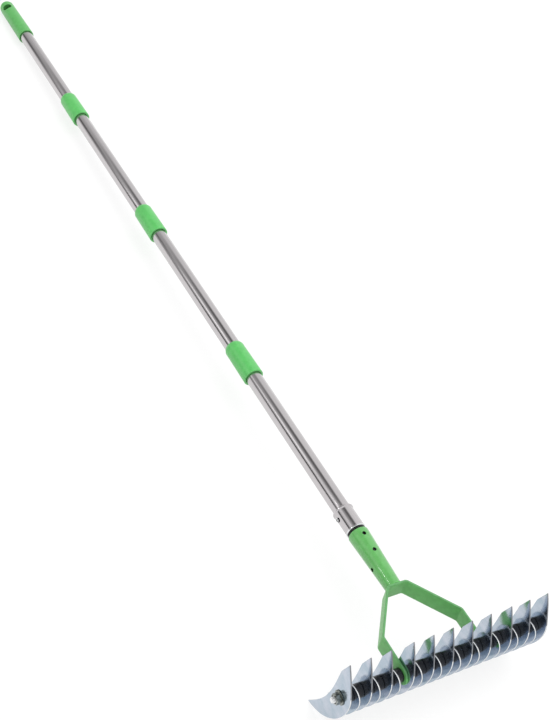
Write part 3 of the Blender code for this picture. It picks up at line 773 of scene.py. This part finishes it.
def make_end_plug():
    """The plug in the lowest tube: spigot above, collar, threaded stud below."""
    low, high = span("end_plug")
    foot = low.y + END_STUD
    top = high.y - foot
    profile = [(0, -END_STUD), (END_STUD_ROOT, -END_STUD)]
    profile += thread_rows(THREAD_MARGIN - END_STUD, -THREAD_MARGIN, END_STUD_ROOT, END_STUD_CREST,
                           COARSE_PITCH, ROUND_SIDES)
    profile += [(END_STUD_ROOT, 0)]
    profile += flange_rows(COLLAR_RADIUS, COLLAR_THICKNESS, COLLAR_CHAMFER)
    profile += [(PLUG_SPIGOT_RADIUS, COLLAR_THICKNESS), (PLUG_SPIGOT_RADIUS, top), (0, top)]
    piece("fine_end_plug", turned_mesh("end_plug", profile, closed=False), ["black"],
          ["end_plug"], up_pole(foot))


def slot_tool():
    """The hanging slot: flat-sided with round ends, right through along Z."""
    radius = SLOT_HEIGHT / 2
    shift = SLOT_WIDTH / 2 - radius
    outline = arc((shift, 0), (radius, radius), -90, 90, 16)
    outline += [(-x, -y) for x, y in outline]
    bm = bmesh.new()
    low = bm.faces.new([bm.verts.new((x, y, -2 * GRIP_END)) for x, y in outline])
    raised = bmesh.ops.extrude_face_region(bm, geom=[low])["geom"]
    bmesh.ops.translate(bm, verts=[v for v in raised if isinstance(v, bmesh.types.BMVert)],
                        vec=(0, 0, 4 * GRIP_END))
    return finish_mesh("slot", bm)


def make_grip():
    """The domed grip with its bore and the hanging slot, whose walls take painted shade."""
    low, high = span("hand_grip")
    length = high.y - low.y
    dome = length - GRIP_DOME
    profile = [(0, GRIP_BORE_DEPTH), (BORE, GRIP_BORE_DEPTH), (BORE, GRIP_FLARE_DEPTH),
               (BORE + GRIP_FLARE, 0)]
    profile += arc((GRIP_MOUTH - GRIP_FILLET, GRIP_FILLET), (GRIP_FILLET, GRIP_FILLET), -90, 0, 5)
    profile += arc((0, dome), (GRIP_END, GRIP_DOME), 0, 90, 20)
    mesh = turned_mesh("hand_grip", profile, closed=False)
    turn = Matrix.Rotation(math.radians(SLOT_TURN), 4, 'Y')
    mesh = combine(mesh, slot_tool(), 'DIFFERENCE', up_pole(length - SLOT_FROM_END) @ turn)
    # Faces of the slot's walls take painted shade
    for face in mesh.polygons:
        near_slot = face.center.y > length - SLOT_FROM_END - SLOT_HEIGHT
        within = math.hypot(face.center.x, face.center.z) < GRIP_END - SLOT_SKIN
        face.material_index = 1 if near_slot and within and face.center.y < dome else 0
    grip = piece("fine_hand_grip", mesh, ["grip", "slot"], ["hand_grip"],
                 up_pole(low.y))
    soften(grip, SLOT_EDGE, 3)


def recess_wing(turn):
    """One of the two crossing slots that make the socket in the screw's head."""
    bm = bmesh.new()
    shape = Matrix.Rotation(turn, 4, 'Y') @ Matrix.Diagonal((*RECESS_WING, 1))
    bmesh.ops.create_cube(bm, size=1.0, matrix=shape)
    return finish_mesh("recess", bm)


def make_adapter():
    """The pressed sleeve with its lip, rolled bead and screw hole; the lip's lower outside is a painted
    highlight.
    """
    low, high = span("adapter_sleeve")
    length = high.y - low.y
    lip = (ADAPTER_LIP_RADIUS - LIP_FILLET, LIP_FILLET - ADAPTER_DROP)
    bead = (ADAPTER_RADIUS - BEAD_RADIUS / 2, length - BEAD_RADIUS)
    profile = [(BORE, -ADAPTER_DROP)]
    profile += arc(lip, (LIP_FILLET, LIP_FILLET), -90, 0, 6)
    profile += [(ADAPTER_LIP_RADIUS, ADAPTER_LIP - LIP_STEP), (ADAPTER_LIP_RADIUS - LIP_DRAFT, ADAPTER_LIP),
                (ADAPTER_RADIUS, ADAPTER_LIP + LIP_STEP), (ADAPTER_RADIUS, ADAPTER_LIP + 2 * LIP_STEP)]
    profile += arc(bead, (BEAD_RADIUS, BEAD_RADIUS), -60, 90, 18)
    profile += [(BORE, length)]
    mesh = turned_mesh("adapter_sleeve", profile)
    hole_at = Matrix.Translation((-ADAPTER_RADIUS, screw_height() - low.y, 0))
    mesh = combine(mesh, rod_mesh("screw_hole", SCREW_HOLE, WALL_CUTTER, (1, 0, 0)), 'DIFFERENCE', hole_at)
    # The lip's lower outside takes bright zinc as a painted highlight
    for face in mesh.polygons:
        outside = math.hypot(face.center.x, face.center.z) > BORE + BORE_SKIN
        face.material_index = 1 if outside and face.center.y < ADAPTER_LIP - LIP_STEP else 0
    piece("fine_adapter_sleeve", mesh, ["steel", "zinc"], ["adapter_sleeve"],
          up_pole(low.y))


def screw_height():
    """Where the adapter's screw sits along the pole."""
    low, high = span("adapter_screw")
    return (low.y + high.y) / 2


def make_screw():
    """The adapter's screw, domed head outward, a painted highlight, with painted shade in its cross recess
    and on its lower rim.
    """
    low, high = span("adapter_screw")
    head_radius = (high.y - low.y) / 2
    reach = (high.x - low.x) - SCREW_HEAD
    profile = [(0, -reach), (SCREW_SHANK, -reach), (SCREW_SHANK, 0)]
    profile += arc((0, 0), (head_radius, SCREW_HEAD), 0, 90, 12)
    screw = turned_mesh("adapter_screw", profile, SMALL_SIDES, closed=False)
    for turn in (0, math.pi / 2):
        screw = combine(screw, recess_wing(turn), 'DIFFERENCE', up_pole(SCREW_HEAD))
    # Painted shade on the head's lower rim and in the recess, the rest of the head a painted highlight
    for face in screw.polygons:
        x, y, z = face.center
        depth = (x * x + z * z) / head_radius ** 2 + (y / SCREW_HEAD) ** 2
        face.material_index = 1 if y < DARK_BELOW or depth < DARK_WITHIN else 0
    seat = Matrix.Translation((low.x + SCREW_HEAD, screw_height(), 0)) @ quarter_turn(-1)
    piece("fine_adapter_screw", screw, ["edge", "hollow_shade"], ["adapter_screw"], seat)


# Head

def make_ferrule():
    """The tapered socket with its rolled shoulder and three small holes."""
    low, high = span("ferrule")
    length = high.y - low.y
    shoulder = length - FERRULE_SHOULDER
    profile = [(FERRULE_FOOT - FERRULE_WALL, 0), (FERRULE_FOOT, 0)]
    profile += arc((FERRULE_TOP - FERRULE_SHOULDER, shoulder), (FERRULE_SHOULDER, FERRULE_SHOULDER),
                   0, FERRULE_ROLL, 14)
    profile += [(FERRULE_BORE, profile[-1][1] - FERRULE_LIP), (FERRULE_BORE, length - SOCKET_DEPTH)]
    profile += [(FERRULE_FOOT - FERRULE_WALL, length - SOCKET_DEPTH - FERRULE_WALL)]
    mesh = turned_mesh("ferrule", profile)
    for number, height in enumerate(TOP_HOLES):
        tool = rod_mesh(f"top_hole_{number}", FERRULE_HOLE, 2 * FERRULE_TOP, (0, 0, 1))
        mesh = combine(mesh, tool, 'DIFFERENCE', Matrix.Translation((0, height, FERRULE_TOP)))
    tool = rod_mesh("side_hole", FERRULE_HOLE, 2 * FERRULE_TOP, (1, 0, 0))
    mesh = combine(mesh, tool, 'DIFFERENCE', Matrix.Translation((-FERRULE_TOP, SIDE_HOLE, 0)))
    # Faces inside the socket, its bore and its holes take painted shade
    for face in mesh.polygons:
        middle = face.center
        outside = lerp(FERRULE_FOOT, FERRULE_TOP, max(middle.y, 0) / length)
        inner = math.hypot(middle.x, middle.z) < outside - FERRULE_SKIN and middle.y < shoulder
        face.material_index = 1 if inner else 0
    ferrule = piece("fine_ferrule", mesh, ["gloss", "hollow_shade"], ["ferrule"], up_pole(low.y))
    soften(ferrule, HOLE_EDGE, 2)


def make_weld():
    """A painted weld bead round the ferrule's foot, with overlapping ripples."""
    foot = span("ferrule")[0].y
    bm = bmesh.new()
    rings = []
    around = RIPPLE_STEPS * WELD_RIPPLES
    for k in range(around):
        turn = 2 * math.pi * k / around
        swell = WELD_SWELL * math.sin(math.pi * ((k / RIPPLE_STEPS) % 1.0))
        radius = WELD_RADIUS * (1.0 + swell + WELD_UNEVEN * math.sin(5 * turn))
        ring = []
        for i in range(WELD_SIDES):
            a = 2 * math.pi * i / WELD_SIDES
            out = FERRULE_FOOT + WELD_OUT + radius * math.cos(a)
            height = max(WELD_RADIUS * WELD_SEAT + radius * math.sin(a) * WELD_STRETCH, WELD_LOWEST)
            ring.append(bm.verts.new((out * math.sin(turn), height, out * math.cos(turn))))
        rings.append(ring)
    for k in range(around):
        for i in range(WELD_SIDES):
            bm.faces.new((rings[k - 1][i - 1], rings[k][i - 1], rings[k][i], rings[k - 1][i]))
    mesh = finish_mesh("weld", bm, degrees=60)
    mesh.materials.append(MATERIALS["paint"])
    weld = bpy.data.objects.new("ferrule_weld", mesh)
    bpy.context.collection.objects.link(weld)
    weld.matrix_world = POLE @ up_pole(foot)
    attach(weld, "head")


def rounded_path(corners, radius, steps):
    """The corners joined by straight runs, with each inner corner turned to an arc."""
    path = [Vector(corners[0])]
    for before, corner, after in zip(corners, corners[1:], corners[2:]):
        path += corner_arc(before, corner, after, radius, steps)
    path.append(Vector(corners[-1]))
    return path


def bar_section(half_width, edge):
    """Rounded rectangle of the bar: (through the thickness, across the width) points."""
    flat = BAR_THICKNESS / 2
    points = []
    for t_side, w_side, start in ((1, 1, 0), (-1, 1, 90), (-1, -1, 180), (1, -1, 270)):
        centre = (t_side * (flat - edge), w_side * (half_width - edge))
        points += arc(centre, (edge, edge), start, start + 90, CORNER_STEPS)
    return points


def yoke_stations():
    """Middle-line points of the bar with its half width there, from foot end to foot end."""
    foot = span("yoke")[1].x - BAR_THICKNESS / 2
    reach, top = BAR_WIDTH / 2, YOKE_TOP - BAR_THICKNESS / 2
    angles = [lerp(math.radians(FOOT_FLAT), math.pi / 2, i / 18) for i in range(19)]
    left_end = [(Vector((-foot, -reach * math.cos(a))), reach * math.sin(a)) for a in angles]
    corners = [(-foot, 0), (-foot, FOOT_LENGTH), (-YOKE_TOP_HALF, top), (YOKE_TOP_HALF, top),
               (foot, FOOT_LENGTH), (foot, 0)]
    body = [(point, reach) for point in rounded_path(corners, BAR_BEND, 10)[1:-1]]
    right_end = [(Vector((-p.x, p.y)), w) for p, w in reversed(left_end)]
    return left_end + body + right_end


def make_yoke():
    """The bent bar, swept along its middle line, with the axle's hole through both feet and painted shade
    on its narrow edges.
    """
    stations = yoke_stations()
    bm = bmesh.new()
    loops = []
    for i, (point, half_width) in enumerate(stations):
        before = stations[max(i - 1, 0)][0]
        after = stations[min(i + 1, len(stations) - 1)][0]
        along = (after - before).normalized()
        across = Vector((-along.y, along.x))
        edge = min(BAR_EDGE, half_width * BAR_EDGE_SHARE)
        loops.append([bm.verts.new((point.x + across.x * t, point.y + across.y * t, w))
                      for t, w in bar_section(half_width, edge)])
    for low, high in zip(loops, loops[1:]):
        for i in range(len(low)):
            bm.faces.new((low[i - 1], low[i], high[i], high[i - 1]))
    bm.faces.new(loops[0])
    bm.faces.new(loops[-1])
    mesh = finish_mesh("yoke", bm, degrees=30)
    tool = rod_mesh("axle_hole", AXLE_BORE, YOKE_CUTTER, (1, 0, 0))
    mesh = combine(mesh, tool, 'DIFFERENCE')
    # Faces that face across the bar's width, its narrow edges, take painted shade
    for face in mesh.polygons:
        face.material_index = 1 if abs(face.normal.z) > 0.5 else 0
    piece("fine_yoke", mesh, ["paint", "rim"], ["yoke"], Matrix())


# Rack

def make_blades():
    """Eleven long and ten short blades, each kind from one mesh."""
    for kind, outline, count in (("long", long_outline(), 11), ("short", short_outline(), 10)):
        mesh = plate_mesh(f"{kind}_blade", outline)
        for number in range(1, count + 1):
            name = f"{kind}_blade_{number:02d}"
            piece(f"fine_{name}", mesh, ["blade", "edge", "shaded_edge"], [name],
                  along_axle(name))


def make_spacers():
    """The sleeves on the axle between the blades."""
    low, high = span("spacer_01")
    half = (high.x - low.x) / 2
    profile = rounded([(AXLE_BORE, -half, 0), (SPACER_RADIUS, -half, SPACER_FILLET),
                       (SPACER_RADIUS, half, SPACER_FILLET), (AXLE_BORE, half, 0)])
    mesh = turned_mesh("spacer", profile, sides=64)
    for number in range(1, 21):
        name = f"spacer_{number:02d}"
        place = along_axle(name) @ quarter_turn(1)
        piece(f"fine_{name}", mesh, ["black"], [name], place)


def make_axle():
    """The rod, threaded at both ends."""
    half = span("axle_rod")[1].x
    inner = half - AXLE_THREAD
    rows = thread_rows(inner, half - AXLE_POINT, AXLE_ROOT, AXLE_RADIUS, AXLE_PITCH, SMALL_SIDES)
    mirrored = [(radii, -height) for radii, height in reversed(rows)]
    profile = [(0, -half), (AXLE_ROOT, -half)] + mirrored + [(AXLE_RADIUS, AXLE_RUNOUT - inner)]
    profile += [(AXLE_RADIUS, inner - AXLE_RUNOUT)] + rows + [(AXLE_ROOT, half), (0, half)]
    mesh = turned_mesh("axle_rod", profile, SMALL_SIDES, closed=False)
    piece("fine_axle_rod", mesh, ["zinc"], ["axle_rod"], quarter_turn(1))


def hexagon_outline():
    """The nut's six flats, with each corner turned to a small arc."""
    reach = (NUT_FLATS / 2 - NUT_FILLET) / math.cos(math.pi / 6)
    points = []
    for turn in range(0, 360, 60):
        corner = (reach * math.cos(math.radians(turn)), reach * math.sin(math.radians(turn)))
        points += arc(corner, (NUT_FILLET, NUT_FILLET), turn - 30, turn + 30, CORNER_STEPS)
    return points


def nut_mesh():
    """Flange nut from its seat at y = 0 outward, its hexagon's far corners turned off."""
    total = NUT_HEIGHT + FLANGE_THICKNESS
    corner = NUT_FLATS / 2 / math.cos(math.pi / 6)
    bm = bmesh.new()
    low, high = [[bm.verts.new((x, y, z)) for z, x in hexagon_outline()] for y in (0, total)]
    bm.faces.new(low)
    bm.faces.new(high)
    for i in range(len(low)):
        bm.faces.new((low[i - 1], low[i], high[i], high[i - 1]))
    hexagon = finish_mesh("nut", bm)
    cone = [(0, 0), (corner, 0), (corner, total - NUT_CHAMFER), (NUT_FLATS / 2 - NUT_FACE, total),
            (0, total)]
    hexagon = combine(hexagon, turned_mesh("cone", cone, SMALL_SIDES, closed=False), 'INTERSECT')
    flange = [(0, 0), (FLANGE_RADIUS - FLANGE_CHAMFER, 0), (FLANGE_RADIUS, FLANGE_CHAMFER),
              (FLANGE_RADIUS, FLANGE_THICKNESS / 2), (NUT_FLATS / 2, FLANGE_THICKNESS),
              (0, FLANGE_THICKNESS)]
    nut = combine(hexagon, turned_mesh("flange", flange, SMALL_SIDES, closed=False), 'UNION')
    bore = [(0, -CUT_PAST), (AXLE_BORE, -CUT_PAST), (AXLE_BORE, total - NUT_SINK),
            (AXLE_BORE + NUT_SINK_OUT, total + NUT_SINK_UP), (AXLE_BORE + NUT_SINK_OUT, total + CUT_PAST),
            (0, total + CUT_PAST)]
    nut = combine(nut, turned_mesh("bore", bore, SMALL_SIDES, closed=False), 'DIFFERENCE')
    # The bore and countersink take painted shade
    for face in nut.polygons:
        face.material_index = 1 if math.hypot(face.center.x, face.center.z) < AXLE_BORE + NUT_SINK else 0
    return nut


def make_nuts():
    """Both flange nuts, their flanges toward the blades."""
    mesh = nut_mesh()
    for name, side in (("axle_nut_left", -1), ("axle_nut_right", 1)):
        low, high = span(name)
        seat = high.x if side < 0 else low.x
        piece(f"fine_{name}", mesh, ["nut", "hollow_shade"], [name],
              Matrix.Translation((seat, 0, 0)) @ quarter_turn(side))


# Stage

def make_floor():
    """A pale floor that reads as white, also in metal, and keeps a soft shadow."""
    mesh = bpy.data.meshes.new("floor")
    corners = [(x * FLOOR_HALF, y * FLOOR_HALF, 0) for x, y in ((-1, -1), (1, -1), (1, 1), (-1, 1))]
    mesh.from_pydata(corners, [], [(0, 1, 2, 3)])
    floor = bpy.data.objects.new("floor", mesh)
    bpy.context.collection.objects.link(floor)
    made = bpy.data.materials.new("pale_floor")
    made.use_nodes = True
    tree = made.node_tree
    out = tree.nodes["Material Output"]
    plain = tree.nodes["Principled BSDF"]
    plain.inputs["Base Color"].default_value = (FLOOR_GREY, FLOOR_GREY, FLOOR_GREY, 1)
    plain.inputs["Roughness"].default_value = FLOOR_ROUGHNESS
    shaded = tree.nodes.new("ShaderNodeBsdfDiffuse")
    shaded.inputs["Color"].default_value = (FLOOR_SHADE, FLOOR_SHADE, FLOOR_SHADE, 1)
    glow = tree.nodes.new("ShaderNodeEmission")
    glow.inputs["Strength"].default_value = FLOOR_GLOW
    both = tree.nodes.new("ShaderNodeAddShader")
    choose = tree.nodes.new("ShaderNodeMixShader")
    tree.links.new(shaded.outputs[0], both.inputs[0])
    tree.links.new(glow.outputs[0], both.inputs[1])
    tree.links.new(direct_rays(tree), choose.inputs[0])
    tree.links.new(plain.outputs[0], choose.inputs[1])
    tree.links.new(both.outputs[0], choose.inputs[2])
    tree.links.new(choose.outputs[0], out.inputs["Surface"])
    mesh.materials.append(made)


def direct_rays(tree):
    """1 where the camera, a mirror or glass looks on, 0 where light is gathered."""
    path = tree.nodes.new("ShaderNodeLightPath")
    first = tree.nodes.new("ShaderNodeMath")
    first.operation = 'MAXIMUM'
    second = tree.nodes.new("ShaderNodeMath")
    second.operation = 'MAXIMUM'
    tree.links.new(path.outputs["Is Camera Ray"], first.inputs[0])
    tree.links.new(path.outputs["Is Glossy Ray"], first.inputs[1])
    tree.links.new(first.outputs[0], second.inputs[0])
    tree.links.new(path.outputs["Is Transmission Ray"], second.inputs[1])
    return second.outputs[0]


def make_world():
    """Light and dark bands round the pole, which change over along it, and plain white behind."""
    world = bpy.data.worlds.new("studio")
    bpy.context.scene.world = world
    world.use_nodes = True
    tree = world.node_tree
    links = tree.links
    place = tree.nodes.new("ShaderNodeTexCoord")
    turn = tree.nodes.new("ShaderNodeMapping")
    turn.vector_type = 'VECTOR'
    turn.inputs["Rotation"].default_value = POLE.to_3x3().inverted().to_euler()
    split = tree.nodes.new("ShaderNodeSeparateXYZ")
    ahead = node(tree, "ShaderNodeMapRange", From_Min=BEHIND[0], From_Max=BEHIND[1])
    open_sky = tree.nodes.new("ShaderNodeMix")
    open_sky.data_type = 'RGBA'
    open_sky.inputs[6].default_value = (1, 1, 1, 1)
    round_pole = tree.nodes.new("ShaderNodeMath")
    round_pole.operation = 'ARCTAN2'
    share = node(tree, "ShaderNodeMapRange", From_Min=-math.pi, From_Max=math.pi)
    change = node(tree, "ShaderNodeMapRange", From_Min=CHANGE_OVER[0], From_Max=CHANGE_OVER[1])
    mix = tree.nodes.new("ShaderNodeMix")
    mix.data_type = 'RGBA'
    for levels, socket in ((ACROSS_STOPS, mix.inputs[6]), (ALONG_STOPS, mix.inputs[7])):
        ramp = tree.nodes.new("ShaderNodeValToRGB")
        stops = ramp.color_ramp.elements
        for angle, level in levels:
            stops.new(angle / 360 + 0.5).color = (level, level, level, 1)
        stops[0].color = stops[1].color
        stops[-1].color = stops[-2].color
        links.new(share.outputs["Result"], ramp.inputs["Fac"])
        links.new(ramp.outputs["Color"], socket)
    links.new(place.outputs["Generated"], turn.inputs["Vector"])
    links.new(turn.outputs["Vector"], split.inputs["Vector"])
    links.new(split.outputs["X"], round_pole.inputs[0])
    links.new(split.outputs["Z"], round_pole.inputs[1])
    links.new(split.outputs["Y"], change.inputs["Value"])
    links.new(round_pole.outputs[0], share.inputs["Value"])
    links.new(change.outputs["Result"], mix.inputs[0])
    links.new(split.outputs["Y"], ahead.inputs["Value"])
    links.new(ahead.outputs["Result"], open_sky.inputs[0])
    links.new(mix.outputs[2], open_sky.inputs[7])
    links.new(open_sky.outputs[2], tree.nodes["Background"].inputs["Color"])


def lamp_matrix(location, away):
    """A lamp's place in the pole frame, shining against away, its long side along the pole."""
    away = Vector(away).normalized()
    along = (Vector((0, 1, 0)) - away * away.y).normalized()
    turn = Matrix((along.cross(away), along, away)).transposed().to_4x4()
    return POLE @ Matrix.Translation(location) @ turn


def make_strip(name, height, width, length, power):
    """A narrow lamp beside the pole, at a height along it, that shows as a line in metal and paint."""
    data = bpy.data.lights.new(name, 'AREA')
    data.shape = 'RECTANGLE'
    data.size, data.size_y = width, length
    data.energy = power
    lamp = bpy.data.objects.new(name, data)
    bpy.context.collection.objects.link(lamp)
    azimuth = math.radians(STRIP_AZIMUTH)
    away = Vector((math.sin(azimuth), 0, math.cos(azimuth)))
    lamp.matrix_world = lamp_matrix(away * STRIP_DISTANCE + Vector((0, height, 0)), away)


def make_sun():
    """An even soft light from above that isn't mirrored in metal."""
    data = bpy.data.lights.new("sun", 'SUN')
    data.energy = SUN_POWER
    data.angle = math.radians(SUN_SPREAD)
    lamp = bpy.data.objects.new("sun", data)
    bpy.context.collection.objects.link(lamp)
    lamp.matrix_world = lamp_matrix((0, 0, SUN_HEIGHT), SUN_FROM)
    lamp.visible_glossy = False


def make_lamps():
    """The long strip, a short one for the small highlights lower down, and the sun."""
    make_strip("strip", STRIP_HEIGHT, STRIP_WIDTH, STRIP_LENGTH, STRIP_POWER)
    make_strip("spark", SPARK_HEIGHT, SPARK_WIDTH, SPARK_LENGTH, SPARK_POWER)
    make_sun()


def make_camera():
    """The camera in the place that the photograph shows the rake from."""
    data = bpy.data.cameras.new("camera")
    camera = bpy.data.objects.new("camera", data)
    bpy.context.collection.objects.link(camera)
    data.sensor_width = 36
    data.lens = CAMERA_LENS
    data.clip_start, data.clip_end = 0.05, 50
    right, up = Vector(CAMERA_RIGHT).normalized(), Vector(CAMERA_UP).normalized()
    back = right.cross(up)
    turn = Matrix((right, up, back)).transposed().to_4x4()
    camera.matrix_world = POLE @ Matrix.Translation(CAMERA_EYE) @ turn
    bpy.context.scene.camera = camera


make_camera()
make_floor()
make_world()
make_lamps()
make_tubes()
make_connectors()
make_plugs()
make_end_plug()
make_grip()
make_adapter()
make_screw()
make_ferrule()
make_weld()
make_yoke()
make_blades()
make_spacers()
make_axle()
make_nuts()
bpy.context.scene.view_settings.view_transform = 'Standard'
